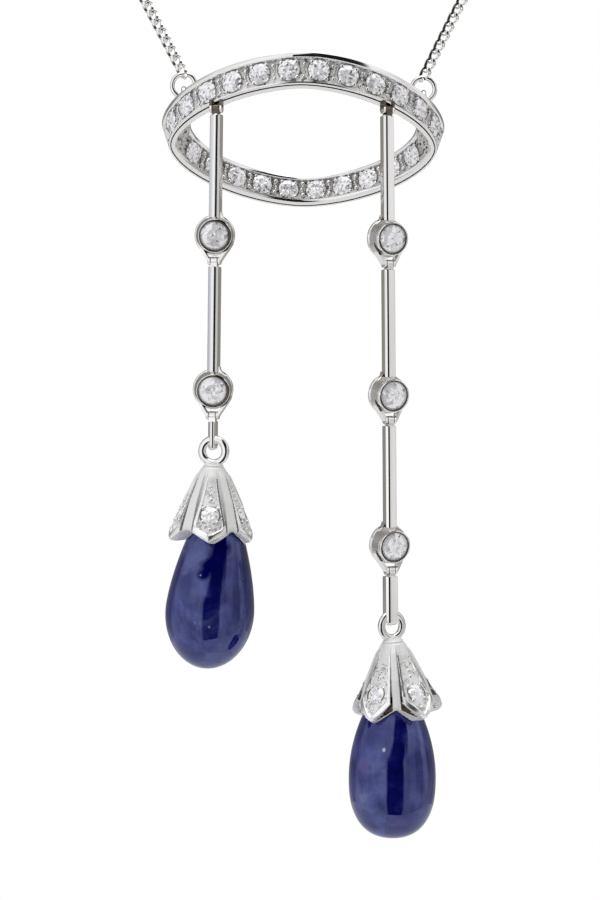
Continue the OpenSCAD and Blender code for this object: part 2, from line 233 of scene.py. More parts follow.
# Floor of the tent: a plain pale disc far below the drops, out of the camera's view. It glows a little,
# as cloth does that is lit from outside.
floor_drop = 235
floor_r = 530
floor_back = 280
turns = circle(72)
floor_ring = stacked(floor_r * np.sin(turns), floor_r * np.cos(turns) + hoop_middle[1] + floor_back,
                     cad_box[0][2] / MM - floor_drop)
pale, tree, shader = new_material("pale_floor")
set_inputs(shader, Base_Color=rgba(0.80), Roughness=0.9, Emission_Color=rgba(1.0), Emission_Strength=0.07)
floor = add_mesh("floor", floor_ring, [np.arange(len(turns))[::-1]], [pale])


# White gold: cast and polished, with a faint waviness and fine scratches. Webs and petals are grained
# with a tool. Grooves, seats, hollows and sides out of the light are rougher copies painted darker: painted shade.
def new_group(name, inputs, outputs):
    """Shader group with named inputs and outputs that have a default, or None for a vector; gives the group, the
    sockets that it is given and its end node."""
    group = bpy.data.node_groups.new(name, "ShaderNodeTree")
    for in_out, sockets in (("INPUT", inputs), ("OUTPUT", outputs)):
        for key, default in sockets.items():
            kind = "NodeSocketVector" if default is None else "NodeSocketFloat"
            socket = group.interface.new_socket(key, in_out=in_out, socket_type=kind)
            if default is not None:
                socket.default_value = default
    return group, group.nodes.new("NodeGroupInput").outputs, group.nodes.new("NodeGroupOutput")


# Group that gives a roughness and a normal from a soft waviness and fine scratches
metal_wear, given, end = new_group(
    "metal_wear", {"Roughness": 0.06, "Scratch": 0.05, "Wave": 0.05, "Scale": 900.0},
    {"Roughness": 0.0, "Normal": None})
place = add_node(metal_wear, "TexCoord", "Object")
fine_scale = math_node(metal_wear, "MULTIPLY", given["Scale"], 4.0)
fine = add_node(metal_wear, "TexNoise", "Fac", Vector=place, Scale=fine_scale, Detail=4)
wide = add_node(metal_wear, "TexNoise", "Fac", Vector=place, Scale=given["Scale"], Detail=1)
scratches = math_node(metal_wear, "MULTIPLY", fine, given["Scratch"])
bump = add_node(metal_wear, "Bump", "Normal", Strength=given["Wave"], Distance=0.00002, Height=wide)
set_inputs(end, Roughness=math_node(metal_wear, "ADD", given["Roughness"], scratches), Normal=bump)


def make_metal(name, colour, roughness, scratch=0.05, wave=0.15, scale=700.0, metallic=1.0):
    """White gold of one finish: metallic, with the wear group on its roughness and normal."""
    material, tree, shader = new_material(name)
    wear = add_node(tree, "Group", 0, metal_wear, Roughness=roughness, Scratch=scratch, Wave=wave, Scale=scale)
    set_inputs(shader, Base_Color=rgba(colour), Metallic=metallic, Roughness=wear, Normal=wear.node.outputs[1])
    return material


grained = {"scratch": 0.3, "wave": 0.45, "scale": 1800.0, "metallic": 0.2}
bright_gold = make_metal("bright_white_gold", (0.88, 0.87, 0.86), 0.07, wave=0.35)
grained_gold = make_metal("grained_white_gold", (0.97, 0.965, 0.96), 0.30, **grained)
satin_gold = make_metal("satin_white_gold", (0.96, 0.96, 0.97), 0.2, scratch=0.1, wave=0.3)
# The next three are darker copies of the metal, painted shade: for grooves, recesses and the cups' outer walls.
groove_gold = make_metal("groove_shade_white_gold", (0.40, 0.37, 0.33), 0.3, scratch=0.2)
recess_gold = make_metal("shaded_white_gold", (0.15, 0.125, 0.105), 0.25)
side_shade_gold = make_metal("side_shade_white_gold", (0.62, 0.59, 0.55), 0.3)


def grid_faces(rows, columns, close_rows=False):
    """Quads of a grid of points numbered row by row, each row a closed ring."""
    i = np.arange(rows if close_rows else rows - 1)[:, None]
    k = np.arange(columns)
    row, next_row, beside = i * columns, (i + 1) % rows * columns, (k + 1) % columns
    return stacked(row + k, row + beside, next_row + beside, next_row + k).reshape(-1, 4)


class Shape:
    """Surfaces gathered into one mesh: each is placed by a matrix and keeps its own material number."""

    def __init__(self):
        self.points, self.faces, self.numbers, self.count = [], [], [], 0

    def add(self, points, faces, number=0):
        self.points.append(np.asarray(points, float).reshape(-1, 3))
        self.faces += [np.asarray(f) + self.count for f in faces]
        self.numbers += [number] * len(faces)
        self.count += len(self.points[-1])
        return self

    def grid(self, points, close_rows=False, number=0):
        """A grid of points (rows, columns, 3); where its rows aren't closed, the first and last get one face each."""
        rows, columns = points.shape[:2]
        ends = [] if close_rows else [np.arange(columns)[::-1], np.arange(columns) + (rows - 1) * columns]
        return self.add(points, [*grid_faces(rows, columns, close_rows), *ends], number)

    def moved(self, matrix):
        """These surfaces placed by a matrix."""
        self.points = [p @ matrix[:3, :3].T + matrix[:3, 3] for p in self.points]
        return self

    def join(self, other):
        """These surfaces with another shape's after them."""
        self.points += other.points
        self.faces += [f + self.count for f in other.faces]
        self.numbers += other.numbers
        self.count += other.count
        return self

    def mesh(self, name, materials, smooth_deg):
        return add_mesh(name, np.concatenate(self.points), self.faces, materials, self.numbers, smooth_deg)


def turned(axis, degrees):
    """4 by 4 matrix of a turn about an axis: 0 for X, 1 for Y, 2 for Z."""
    m = np.eye(4)
    a, b = [(1, 2), (2, 0), (0, 1)][axis]
    c, s = math.cos(math.radians(degrees)), math.sin(math.radians(degrees))
    m[a, a], m[b, b], m[a, b], m[b, a] = c, c, -s, s
    return m


def axes_at(x_axis, y_axis, z_axis, at):
    """4 by 4 matrix that stands a piece on three axes at a point."""
    m = np.eye(4)
    m[:3] = np.stack([x_axis, y_axis, z_axis, at], 1)
    return m


def shifted(x, y, z):
    """4 by 4 matrix of a move."""
    return axes_at(*np.eye(3), (x, y, z))


def unit(v):
    return v / np.linalg.norm(v, axis=-1, keepdims=True)


# Curb chain: flat twisted links of round wire, each through the next, from the jump rings over the
# shoulders to the clasp. Two joined meshes, one for each half.
link_pitch = 1.07
link_half_length = 0.70
link_half_width = 0.36
link_twist = 0.21
link_turn_deg = 20
link_wire_r = 0.14
jump_wire_r = 0.2
link_sides = 5
link_rings = 12
chain_route = np.array([
    [4.2, 0, 0], [16, -1.5, 0], [29, -6.5, -1], [41, -15.5, -3], [50, -27.5, -6],
    [55, -41, -11.5], [54.5, -53, -19.5], [48.5, -60.5, -32], [41, -67.7, -46.5],
    [33.4, -75, -62], [25.8, -82.5, -77.5], [18, -90.5, -93.3], [10.8, -97.9, -108.3],
])
# Shares of the way from clasp to ring, and the way that the flat side faces there, 180 straight ahead
lean_places, lean_deg = [0, 0.35, 0.75, 1], [50, 90, 175, 180]


def smooth_curve(points, steps):
    """Catmull-Rom curve: each span is the cubic that leaves a point along the line between its neighbours."""
    padded = np.concatenate([points[:1], points, points[-1:]])
    t = (np.arange(steps) / steps)[:, None]
    spans = [
        0.5 * (2 * b + (c - a) * t + (2 * a - 5 * b + 4 * c - d) * t**2 + (3 * b - a - 3 * c + d) * t**3)
        for a, b, c, d in zip(padded, padded[1:], padded[2:], padded[3:])
    ]
    return np.concatenate(spans + [points[-1:]])


def lengths_along(line):
    """Distance along a line of points to each of them."""
    return np.concatenate([[0], np.cumsum(np.linalg.norm(np.diff(line, axis=0), axis=1))])


def even_points(curve, step):
    """Points a step apart along a curve, with the curve's direction at each."""
    lengths = lengths_along(curve)
    count = int(round(lengths[-1] / step))
    wanted = (np.arange(count) + 0.5) * lengths[-1] / count
    at = np.stack([np.interp(wanted, lengths, curve[:, k]) for k in range(3)], 1)
    return at, unit(np.gradient(at, axis=0))


def curb_link():
    """One link about the origin, along X: an oval that rises and falls twice as it goes round, with round wire."""
    t = circle(link_rings)
    line = stacked(link_half_length * np.cos(t), link_half_width * np.sin(t), link_twist * np.sin(2 * t))
    along = unit(np.roll(line, -1, 0) - np.roll(line, 1, 0))
    side = unit(np.cross(along, [0, 0, 1.0]))
    up = np.cross(side, along)
    a = circle(link_sides)[None, :, None]
    wire = line[:, None] + link_wire_r * (side[:, None] * np.cos(a) + up[:, None] * np.sin(a))
    return wire.reshape(-1, 3) @ turned(0, link_turn_deg)[:3, :3].T


def link_chain(name, route, ring_top):
    """Links set a pitch apart along the route, the last one through its ring, their flat side turned outwards."""
    end = ring_top + (link_half_length - link_wire_r - jump_wire_r) * unit(route[-2] - ring_top)
    last = end + 0.5 * link_pitch * unit(ring_top - route[-2])
    at, along = even_points(smooth_curve(np.concatenate([route[:-1], [last]]), 40), link_pitch)
    lean = np.radians(np.interp(np.linspace(0, 1, len(at)), lean_places, lean_deg))
    outward = stacked(0.0, np.cos(lean), np.sin(lean))
    side = unit(np.cross(outward, along))
    one = curb_link()
    points = at[:, None] + one @ np.stack([along, side, np.cross(along, side)], 1)
    faces = grid_faces(link_rings, link_sides, close_rows=True)[:, ::-1]
    shift = (np.arange(len(at)) * len(one))[:, None, None]
    return add_mesh(name, points.reshape(-1, 3), (faces[None] + shift).reshape(-1, 4), [chain_gold], smooth_deg=60)


chain_gold = make_metal("chain_white_gold", (0.92, 0.91, 0.90), 0.12, wave=0.0)
for side, sign in (("left", -1), ("right", 1)):
    lowest, highest = np.array(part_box("jump_ring_" + side)) / MM
    ring_top = np.append((lowest + highest)[:2] / 2, highest[2] - jump_wire_r)
    half = link_chain("curb_links_" + side, chain_route * [sign, 1, 1], ring_top)
    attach(half, "root")
    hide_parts("chain_" + side)


# Clasp: a plain barrel on the nape where the chain's two halves meet, turned with a shallow groove round
# its middle and a collar at each end.
clasp_half = 4.0
clasp_r = 1.2
# Half of the clasp's profile, from its end to its middle: (distance, radius)
clasp_profile = [(-clasp_half, 0.45), (-clasp_half, 0.7), (-3.7, 0.8), (-3.25, 0.82), (-3.2, 1.05), (-3.0, 1.18),
                 (-2.6, clasp_r), (-0.25, clasp_r), (-0.15, 1.08)]


def lathe(profile, sides=48):
    """A profile of (distance along X, radius) turned round the X axis: rows follow the profile."""
    x, r = np.asarray(profile, float).T[..., None]
    a = circle(sides)
    return stacked(x, r * np.cos(a), r * np.sin(a))


clasp_profile += [(-x, r) for x, r in clasp_profile[::-1]]
clasp = Shape().grid(lathe(clasp_profile)).mesh("barrel_clasp", [chain_gold], 30)
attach(clasp, "root")
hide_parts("clasp")


# Jump rings: closed rings of round wire that join the chain's last links to the hoop's loops.
jump_ring_r = 1.0


def torus(r, wire_r, rings=64, sides=20, squash=1.0, number=0):
    """Round wire carried round a circle of radius r in the YZ plane; squash narrows the wire along X."""
    t, a = circle(rings)[:, None], circle(sides)
    reach = r + wire_r * np.cos(a)
    points = stacked(-wire_r * squash * np.sin(a), reach * np.cos(t), reach * np.sin(t))
    return Shape().grid(points, close_rows=True, number=number)


for side in ("left", "right"):
    middle = np.sum(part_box("jump_ring_" + side), 0) / 2 / MM
    jump = torus(jump_ring_r, jump_wire_r).moved(shifted(*middle) @ turned(2, 90))
    jump = jump.mesh("jump_wire_" + side, [chain_gold], 60)
    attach(jump, "root")
    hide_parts("jump_ring_" + side)


# Hoop: a cast ring of V section on a pointed oval. Narrow rails stand above and below the stones on the
# outside of its front half and on the inside of its rear half. Two loops are soldered on top of it.
hoop_tilt_deg = 30
hoop_roll_deg = 0.9
in_hoop = shifted(*hoop_middle) @ turned(1, hoop_roll_deg) @ turned(0, -hoop_tilt_deg)
half_height = 1.25
top_outer = np.array([12.3, 9.3, 1.74])
top_inner = top_outer - [2.6, 2.5, 0.02]
bottom_outer = top_outer - [0.74, 1.1, 0]
bottom_inner = top_outer - [1.28, 1.85, 0.11]
outer_rails = (0.19, 0.05)
inner_rails = (0.15, 0.13)
web_share = 0.2
outer_end_deg = 88
inner_end_deg = 97
rounding_deg = 16
rounding_scale = 1.006
loop_x = 10.3
loop_h = 1.05
loop_r = 0.72
loop_wire_r = 0.22
loop_foot = [(-0.3, 0.42), (0.0, 0.40), (0.12, 0.30), (0.35, 0.26), (0.5, 0.2)]
eye_r = 0.36
lug_out = 0.54
lug_spans = ((0.32, lug_out), (-lug_out, -0.32))
pin_r = 0.13
neck_half = 0.3
lug_neck = 0.75


def oval(sizes, t):
    """Pointed oval: x and y go as sine and cosine, each to the power of two over the exponent, averaged over a
    short arc so that its front and back are softly rounded."""
    e = 2 / sizes[2]
    spread = np.linspace(-1, 1, 17)
    weights = 1 + np.cos(np.pi * spread)
    around = np.asarray(t, float)[..., None] + np.radians(rounding_deg * spread)
    sine, cosine = np.sin(around), np.cos(around)
    x = sizes[0] * np.sign(sine) * np.abs(sine) ** e
    y = -sizes[1] * np.sign(cosine) * np.abs(cosine) ** e
    return rounding_scale * stacked(x @ weights, y @ weights) / weights.sum()


def wall(t, f, w):
    """Point of the hoop's wall at angle t, a share f of the way down it and a share w of the way in through it."""
    t, f, w = np.broadcast_arrays(np.asarray(t, float), f, w)
    f, w = f[..., None], w[..., None]
    outer = oval(top_outer, t) * (1 - f) + oval(bottom_outer, t) * f
    inner = oval(top_inner, t) * (1 - f) + oval(bottom_inner, t) * f
    return np.concatenate([outer * (1 - w) + inner * w, half_height * (1 - 2 * f)], -1)


def ramp(v):
    return np.clip(v, 0, 1)


def make_beaded(name, shade, light, cell_scale=4400):
    """Grained gold covered in tiny beads and cuts, painted cell by cell in tones from shade to light: painted
    highlights and shade.
    """
    material = make_metal(name, light, 0.28, **grained)
    tree = material.node_tree
    cells = add_node(tree, "TexVoronoi", "Color", Vector=add_node(tree, "TexCoord", "Object"), Scale=cell_scale)
    middle = tuple((a + b) / 2 for a, b in zip(shade, light))
    colour = ramp_node(tree, add_node(tree, "SeparateXYZ", Vector=cells),
                       [(0.06, shade), (0.22, middle), (0.42, light), (1.0, light)])
    set_inputs(tree.nodes["Principled BSDF"], Base_Color=colour)
    return material


# Painted light and shade: the outer web's cells run from shade to white, and the inner web's copy is darker, painted
# shade on the hoop's inside.
outer_web = make_beaded("beaded_white_gold", (0.24, 0.23, 0.21), (1.0, 1.0, 1.0))
inner_web = make_beaded("beaded_white_gold_shaded", (0.07, 0.065, 0.06), (0.80, 0.79, 0.77))


def wall_side(t, rails, depth, inward):
    """Rows of (points, is web) down one face of the wall: rounded edges, rails and the sunk web between."""
    top, foot = rails
    down = [0.0, 0.004, 0.018, 0.04, 0.065, top - 0.015, top - 0.004, top, top + 0.012,
            0.985 - foot, 1 - foot, 1 - foot + 0.01, 0.985, 0.997, 1.0]
    rise = [0.15, 0.09, 0.045, 0.012, 0.0, 0.0, 0.02, None, None, None, None, 0.01, 0.02, 0.06, 0.12]
    shares = [depth if w is None else w for w in rise]
    return [(wall(t, f, 1 - w if inward else w), w is depth) for f, w in zip(down, shares)]


def hoop_body():
    """The wall's section carried round the oval: outer face, grooved foot, inner face and ridge. Webs have material 1
    outside and 3 inside, a darker copy as painted shade; the groove has 2, painted shade."""
    t = circle(720)
    off_front = np.degrees(np.abs((t + np.pi) % (2 * np.pi) - np.pi))
    outer = wall_side(t, outer_rails, web_share * ramp((outer_end_deg - off_front) / 2), False)
    inner = wall_side(t, inner_rails, web_share * ramp((off_front - inner_end_deg) / 2), True)
    foot = [(wall(t, f, w), False) for f, w in ((1.0, 0.26), (0.93, 0.30), (0.93, 0.40), (1.0, 0.44), (1.0, 0.7))]
    rows, webs = zip(*outer, *foot, *inner[::-1], (wall(t, 0.0, 0.5), False))
    numbers = np.logical_and(webs, np.roll(webs, -1)).astype(int)
    groove = len(outer)
    numbers[groove:groove + 3] = 2
    numbers[groove + len(foot):] *= 3
    shape = Shape().grid(np.stack(rows, 1), close_rows=True)
    shape.numbers = np.tile(numbers, len(t)).tolist()
    return shape


def carrying_loop(sign):
    """A soldered loop of round wire with its foot on the hoop's top face."""
    middle = (top_outer + top_inner) / 2
    y = -middle[1] * (1 - (loop_x / middle[0]) ** middle[2]) ** (1 / middle[2])
    loop = torus(loop_r, loop_wire_r).moved(shifted(0, 0, loop_h))
    loop.join(Shape().grid(lathe(loop_foot, 24)).moved(turned(1, -90)))
    return loop.moved(shifted(sign * loop_x, y, half_height))


def joint_frame(name, side):
    """Axes of a drop at one of its joints: X along the hinge, Z up the drop."""
    at, top, end = (np.array(joints[j]["pos_m"]) for j in (name, side + "_hinge_1", side + "_drop_swing"))
    up = unit(top - end)
    x = np.array(joints[name]["axis"]) * (1 if side == "left" else -1)
    y = unit(np.cross(up, x))
    return axes_at(np.cross(y, up), y, up, at / MM)


def round_bar(x0, x1, r, edge=0.04, sides=32):
    """A short round bar along X with softened ends."""
    return lathe([(x0, r * 0.2), (x0, r - edge), (x0 + edge, r), (x1 - edge, r), (x1, r - edge), (x1, r * 0.2)], sides)


def hinge_lugs():
    """Two lugs with the pin between them, along X about the origin, the pin's ends flush with the lugs' ends."""
    shape = Shape()
    for x0, x1 in lug_spans:
        shape.grid(round_bar(x0, x1, eye_r))
    return shape.grid(round_bar(-lug_out - 0.01, lug_out + 0.01, pin_r, 0.02))


def block(x0, x1, z0, z1, number):
    """A plain block as deep as a hinge's neck, between two corners."""
    corners = [(x, y, z) for x in (x0, x1) for y in (-neck_half, neck_half) for z in (z0, z1)]
    faces = [(0, 1, 3, 2), (4, 6, 7, 5), (0, 4, 5, 1), (2, 3, 7, 6), (0, 2, 6, 4), (1, 5, 7, 3)]
    return Shape().add(corners, faces, number)


hoop = hoop_body()
for sign in (-1, 1):
    hoop.join(carrying_loop(sign))
hoop.moved(in_hoop)
for side in ("left", "right"):
    lugs = hinge_lugs()
    for x0, x1 in lug_spans:
        # The lugs' necks take material 2: painted shadow under the hoop.
        lugs.join(block(x0, x1, 0, lug_neck, 2))
    hoop.join(lugs.moved(joint_frame(side + "_hinge_1", side)))
hoop = hoop.mesh("hoop_wall", [bright_gold, outer_web, recess_gold, inner_web], 40)
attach(hoop, "hoop")
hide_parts("hoop")


# Hoop stones: round brilliants in two rows, each in a seat ringed by a dark line of painted shade and held by
# four beads raised from the web. Smaller grains fill the web between each two stones.
field_stone_d = 1.86
stone_sink = 0.16
bead_r = 0.2
bead_h = 0.14
bead_x, bead_y = 0.62, 0.66
seat_sink, bead_sink, grain_sink = 0.13, 0.19, 0.2
grain_rows = [(-0.55, bead_r), (-0.24, 0.11), (0.02, 0.13), (0.27, 0.11), (0.55, bead_r)]
diamond_tint = (0.97, 0.97, 1.0)
# Name, first and last angle and count of each row, the side of the wall it is on and its share of the way down
stone_rows = [("outer", -84, 84, 12, 0, 0.565), ("inner", 103, 257, 10, 1, 0.51)]


def brilliant(d, seed, crown=0.11, pavilion=0.40):
    """A round cut with its girdle at z = 0: rings of points from the middle of the table out to the girdle, each ring
    turned half a step from the last and all but the girdle a little out of true, and a cone of facets below."""
    counts = np.array([8, 14, 18, 24])
    reach = np.array([0.13, 0.25, 0.38, 0.5]) * d
    lift = np.array([1.0, 0.98, 0.58, 0.04]) * crown * d
    ring = np.repeat(np.arange(4), counts)
    step = np.concatenate([np.arange(n) for n in counts])
    turn = 2 * np.pi * (step + 0.5 * (ring % 2)) / counts[ring]
    points = stacked(reach[ring] * np.cos(turn), reach[ring] * np.sin(turn), lift[ring])
    jog = np.random.default_rng(seed).normal(0, [0.020 * d, 0.020 * d, 0.014 * d], points.shape)
    points += jog * (ring < 3)[:, None]
    starts = np.concatenate([[0], np.cumsum(counts)])
    rim, total = starts[3:]
    under = points[rim:] * [1, 1, 0] - [0, 0, 0.02 * d]
    points = np.concatenate([points, under, [[0, 0, crown * d], [0, 0, -pavilion * d]]])
    table, tip = total + counts[3], total + counts[3] + 1
    faces = [[table, k, (k + 1) % counts[0]] for k in range(counts[0])]
    for a, b in ((0, 1), (1, 2), (2, 3)):
        # Triangles between two rings, in the order of the angles at which each ring's steps end
        ends = [turn[starts[i]:starts[i + 1]] + 2 * np.pi / counts[i] for i in (b, a)]
        on_b = np.argsort(np.concatenate(ends), kind="stable") < counts[b]
        p, q = np.cumsum(~on_b) - ~on_b, np.cumsum(on_b) - on_b
        third = np.where(on_b, starts[b] + (q + 1) % counts[b], starts[a] + (p + 1) % counts[a])
        faces += list(stacked(starts[a] + p % counts[a], starts[b] + q % counts[b], third))
    for k in range(counts[3]):
        j = (k + 1) % counts[3]
        faces += [[rim + k, total + k, total + j, rim + j], [total + k, tip, total + j]]
    return Shape().add(points, faces)


# Clear cut stone, opaque here: a tone for each facet, which also glows a little, is painted light for the light that
# its back returns
diamond, tree, shader = new_material("white_diamond")
tone = add_node(tree, "Attribute", "Fac")
tone.node.attribute_name = "facet_tone"
low, middle = (tuple(v * part for v in diamond_tint) for part in (0.22, 0.62))
colour = ramp_node(tree, tone, [(0.0, low), (0.16, middle), (0.42, diamond_tint), (1.0, diamond_tint)])
set_inputs(shader, Base_Color=colour, Emission_Color=colour, Emission_Strength=0.16, Metallic=0.18,
           Roughness=0.06, IOR=2.42)


def stones_mesh(name, shape, seed, spread=(1.05, 0.85)):
    """Joined stones as one mesh, with a tone of painted light drawn at random for each facet."""
    obj = shape.mesh(name, [diamond], None)
    tones = np.random.default_rng(seed).beta(*spread, len(obj.data.polygons))
    obj.data.attributes.new("facet_tone", "FLOAT", "FACE").data.foreach_set("value", tones)
    return obj


def dome(r, height, rings=4, sides=10):
    """A bead: a low dome on the XY plane."""
    a = np.linspace(0, np.pi / 2, rings + 1)[:-1, None]
    t = circle(sides)
    points = stacked(r * np.cos(a) * np.cos(t), r * np.cos(a) * np.sin(t), height * np.sin(a))
    faces = list(grid_faces(rings, sides)) + [np.arange(sides) + (rings - 1) * sides, np.arange(sides)[::-1]]
    return Shape().add(points, faces)


def seat_ring(r, wire_r, number):
    """Dark line of painted shade round a stone, on the XY plane."""
    return torus(r, wire_r, 40, 6, number=number).moved(turned(1, 90))


def stone_frames(first, last, count, w, f):
    """Frames of a row's stones at equal distances along the wall: X along it, Z square to its face."""
    degrees = np.linspace(first, last, 400)
    lengths = lengths_along(wall(np.radians(degrees), 0.5, w))
    frames = []
    for t in np.interp((np.arange(count) + 0.5) / count * lengths[-1], lengths, degrees):
        before, here, after = np.radians([t - 1, t, t + 1])
        along = unit(wall(after, f, w) - wall(before, f, w))
        down = unit(wall(here, 1, w) - wall(here, 0, w))
        out = unit(np.cross(down, along)) * (1 if w == 0 else -1)
        frames.append(axes_at(along, np.cross(out, along), out, wall(here, f, w)))
    return frames


for name, first, last, count, w, f in stone_rows:
    row, beads = Shape(), Shape()
    frames = stone_frames(first, last, count, w, f)
    for k, place in enumerate(frames):
        row.join(brilliant(field_stone_d, k).moved(place @ shifted(0, 0, -stone_sink) @ turned(2, 37 * k)))
        beads.join(seat_ring(field_stone_d / 2 + 0.01, 0.032, 1).moved(place @ shifted(0, 0, -seat_sink)))
        for x in (-bead_x, bead_x):
            for y in (-bead_y, bead_y):
                beads.join(dome(bead_r, bead_h).moved(place @ shifted(x, y, -bead_sink)))
        if k:
            both = place + frames[k - 1]
            half_way = axes_at(*unit(both[:3, :3].T), both[:3, 3] / 2)
            for y, r in grain_rows:
                aside = 0.06 * math.sin(9 * k + 7 * y)
                beads.join(dome(r, bead_h).moved(half_way @ shifted(aside, y, -grain_sink)))
    stones = stones_mesh("hoop_stones_" + name, row.moved(in_hoop), 11, spread=(0.72, 0.85))
    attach(stones, "hoop")
    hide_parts(f"hoop_{name}_stones")
    beads = beads.moved(in_hoop).mesh("hoop_beads_" + name, [bright_gold, recess_gold], 60)
    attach(beads, "hoop")


# Bars and cups: each link of a drop is a knife-edge bar that ends in an open-backed cup, with a V strap
# below the cup whose lugs hold the pin of the next link.
bar_half = 0.53
bar_back = 0.33
shoulder = 0.46
hinge_drop = 2.12
eye_half = 0.27
bar_width = {"left": 1.02, "right": 1.0}
short_bar_width = {"left": 0.74, "right": 1.14}
# Corners of each side's bars seen from above, with the radius of each: (x, y, radius)
bar_corners = {
    "left": [(0.0, -0.50, 0.42), (0.36, -0.19, 0.05), (bar_half, bar_back, 0.05), (-bar_half, bar_back, 0.05),
             (-bar_half, -0.02, 0.05)],
    "right": [(-0.38, -0.37, 0.05), (-0.255, -0.434, 0.05), (bar_half, -0.194, 0.05), (0.40, bar_back, 0.05),
              (-0.47, 0.45, 0.05), (-bar_half, -0.22, 0.05)],
}
# Rounded tip of a short bar: (share of its length, share of the bar's width)
tip_levels = [(0.5, 0.95), (0.8, 0.78), (0.95, 0.55), (1.0, 0.3)]
cup_r = 1.6
cup_front = 0.9
cup_back = -0.7
cup_bore_r = 1.25
# Turn and nod of each side's cups towards the viewer
cup_lean = {"left": turned(2, 15) @ turned(0, 9), "right": turned(2, -6) @ turned(0, 9)}
stone_aside = {"left": -0.06, "right": 0.07}
stone_d = 2.34
cup_counts = {"left": 2, "right": 3}


def rounded(corners, steps=7):
    """Outline of a polygon whose corners are arcs that touch both their sides."""
    corners = np.array(corners)
    outline = []
    for before, (x, y, r), after in zip(np.roll(corners, 1, 0), corners, np.roll(corners, -1, 0)):
        here = np.array([x, y])
        a, b = unit(before[:2] - here), unit(after[:2] - here)
        half = math.acos(float(np.clip(a @ b, -1, 1))) / 2
        centre = here + unit(a + b) * r / math.sin(half)
        start, end = here + a * r / math.tan(half) - centre, here + b * r / math.tan(half) - centre
        share = np.linspace(0, 1, steps)[:, None]
        outline.append(centre + r * unit(start * (1 - share) + end * share))
    return np.concatenate(outline)


def bar_shape(side, bottom, width, tip=0.0):
    """The bar's outline carried down from its shoulder, with a bevel at its top and, where asked, a rounded tip."""
    outline = rounded(bar_corners[side])[::-1] * [width, 1]
    levels = [(-shoulder, 0.88), (-shoulder - 0.06, 1.0), (-bottom, 1.0)]
    levels += [(-bottom - tip * h, size) for h, size in tip_levels if tip]
    return Shape().grid(np.array([stacked(*(outline * size).T, z) for z, size in levels]))


def tongue(number=0):
    """Eye that turns on the pin, with its neck down to the bar's shoulder."""
    shape = Shape().grid(round_bar(-eye_half, eye_half, eye_r), number=number)
    return shape.join(block(-eye_half, eye_half, -shoulder - 0.1, -0.15, number))


def cup_shape(ring_aside, sides=72):
    """Cup turned about Y: polished rim and tapered wall outside, the wall painted darker as painted shade, a bore in
    painted shade inside, and a flange at its back.
    """
    rim = np.add([(-0.12, 0), (-0.04, 0.02), (0, 0.05), (0.005, 0.09), (-0.03, 0.14), (-0.12, 0.165), (-0.3, 0.18)],
                 (cup_front, cup_bore_r))
    flange = [(0.25, cup_r - 0.09), (-0.3, cup_r - 0.02), (-0.38, cup_r), (-0.43, cup_r + 0.07),
              (cup_back + 0.1, cup_r + 0.10), (cup_back, cup_r + 0.03), (cup_back, 0.86)]
    bore = [(cup_back + 0.05, 0.8), (-0.1, 0.8), (-0.05, 0.86), (0.28, 1.0), (0.35, cup_bore_r - 0.02)]
    shape = Shape().grid(lathe(np.concatenate([rim, flange, bore])[::-1], sides), close_rows=True)
    shape.numbers = np.repeat([1] * 5 + [0] * 5 + [2] * 2 + [0] * 6 + [1], sides).tolist()
    # A dark ring in the bore: painted shadow between the stone and the rim.
    shade = torus(cup_bore_r - 0.02, 0.045, sides, 8, number=1).moved(shifted(cup_front - 0.06, ring_aside, 0.03))
    return shape.join(shade).moved(turned(2, -90))


def strap_shape():
    """V strap: two flat arms from the cup's sides to the lugs, each a bent flat bar."""
    outer = np.array([[1.50, -0.45], [1.44, -0.75], [1.10, -1.32], [0.72, -1.90], [0.55, -2.2]])
    inner = np.array([[1.25, -0.45], [1.22, -0.70], [0.90, -1.25], [0.50, -1.85], [0.34, -2.2]])
    front, back = [-0.10, -0.12, -0.22, -0.32, -0.32], [0.62, 0.58, 0.48, 0.38, 0.32]
    edges = ((outer, front), (outer, back), (inner, back), (inner, front))
    rows = np.stack([stacked(line[:, 0], depth, line[:, 1]) for line, depth in edges], 1)
    shape, spans = Shape(), len(rows) - 1
    # Each arm's inner face takes material 1: painted shade between the arms.
    for arm_rows, shaded in ((rows * [-1, 1, 1], [0, 0, 1, 0]), (rows[:, ::-1], [0, 1, 0, 0])):
        arm = Shape().grid(arm_rows)
        arm.numbers[:4 * spans] = shaded * spans
        shape.join(arm)
    return shape


def fillet_shape():
    """Shoulders by which the bar spreads into the back of its cup: half its width grows by the square of the way
    down."""
    z = np.linspace(1.95, 1.15, 8)
    half = bar_half - 0.03 + (1.15 - bar_half) * ((z[0] - z) / (z[0] - z[-1])) ** 2.0
    corners = ((-1, 0.05), (-1, 0.6), (1, 0.6), (1, 0.05))
    return Shape().grid(np.stack([stacked(sign * half, y, z) for sign, y in corners], 1))


def bar_and_cup(side, length, top):
    """One link of a drop, from its eye to the lugs under its cup."""
    low = cup_shape(0.6 * stone_aside[side]).moved(cup_lean[side]).join(strap_shape()).join(fillet_shape())
    low.join(hinge_lugs().moved(shifted(0, 0, -hinge_drop)))
    return tongue(top).join(bar_shape(side, length - 1.45, bar_width[side])).join(low.moved(shifted(0, 0, -length)))


